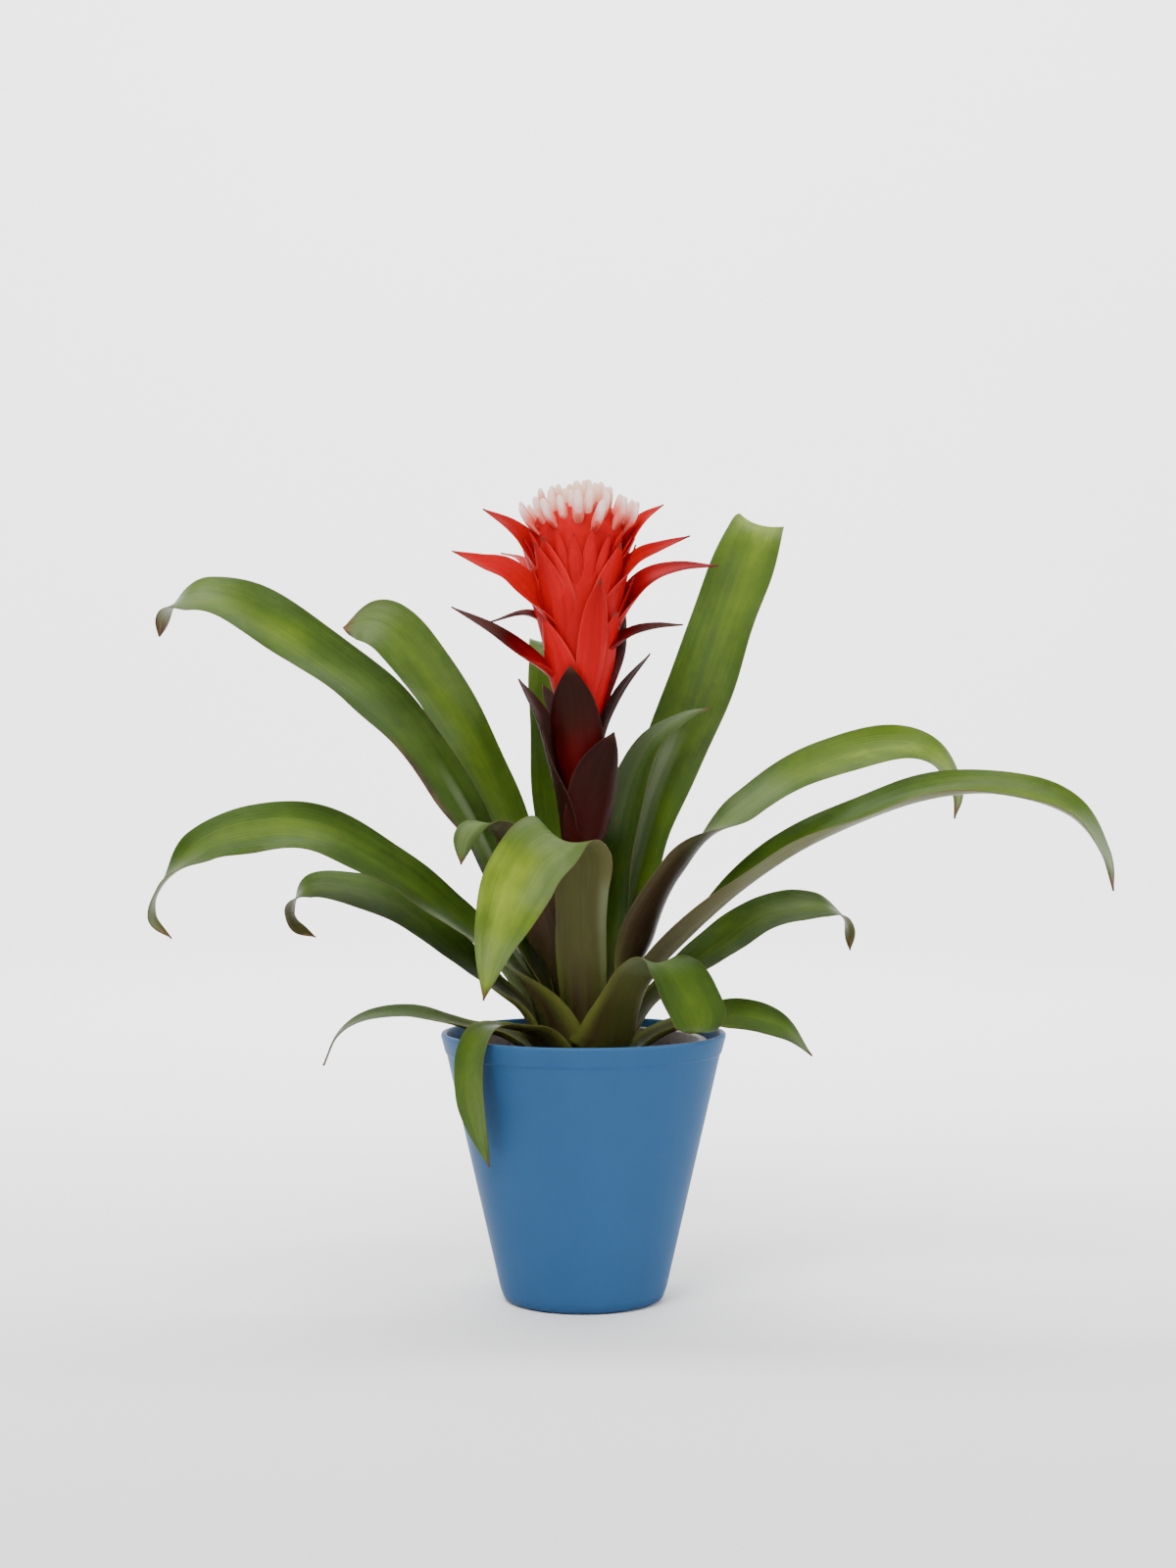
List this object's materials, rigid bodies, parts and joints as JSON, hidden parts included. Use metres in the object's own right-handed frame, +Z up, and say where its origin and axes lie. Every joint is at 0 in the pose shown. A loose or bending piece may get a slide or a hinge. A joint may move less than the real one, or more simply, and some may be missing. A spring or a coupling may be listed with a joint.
{
  "type": "potted guzmania bromeliad",
  "caption": "Bromeliad in flower: a rosette of arching strap leaves round an upright red flower head with pale tips, in a tapered round pot.",
  "frame": {"origin": "centre of the cover pot's foot, on the surface that it stands on", "axes": "+Z up; +X to the right as in the picture, along the widest spread of the leaves; the front faces -Y"},
  "size_m": [0.4756, 0.2841, 0.4019],
  "materials": {
    "cover_pot_glaze": "satin blue glaze",
    "grower_pot_plastic": "matt grey-mauve moulded plastic",
    "soil": null,
    "stem": null,
    "leaf": null,
    "dark_bract": null,
    "red_bract": null,
    "pale_tip": null
  },
  "bodies": {
    "root": {"cover_pot": "cover_pot_glaze", "grower_pot": "grower_pot_plastic", "soil": "soil", "stem": "stem", "dark_bracts": "dark_bract", "red_bracts": "red_bract", "pale_tips": "pale_tip", "leaf_north": "leaf", "leaf_southwest_inner": "leaf", "leaf_south": "leaf", "leaf_east_inner": "leaf", "leaf_northwest": "leaf", "leaf_northeast_high": "leaf", "leaf_west_high": "leaf", "leaf_east_high": "leaf", "leaf_west": "leaf", "leaf_east_long": "leaf", "leaf_north_low": "leaf", "leaf_southeast": "leaf", "leaf_east_low": "leaf", "leaf_west_low": "leaf", "leaf_southwest_low": "leaf", "leaf_northeast_low": "leaf", "leaf_northwest_low": "leaf", "leaf_west_thin": "leaf", "leaf_east_bottom": "leaf"}
  },
  "joints": []
}
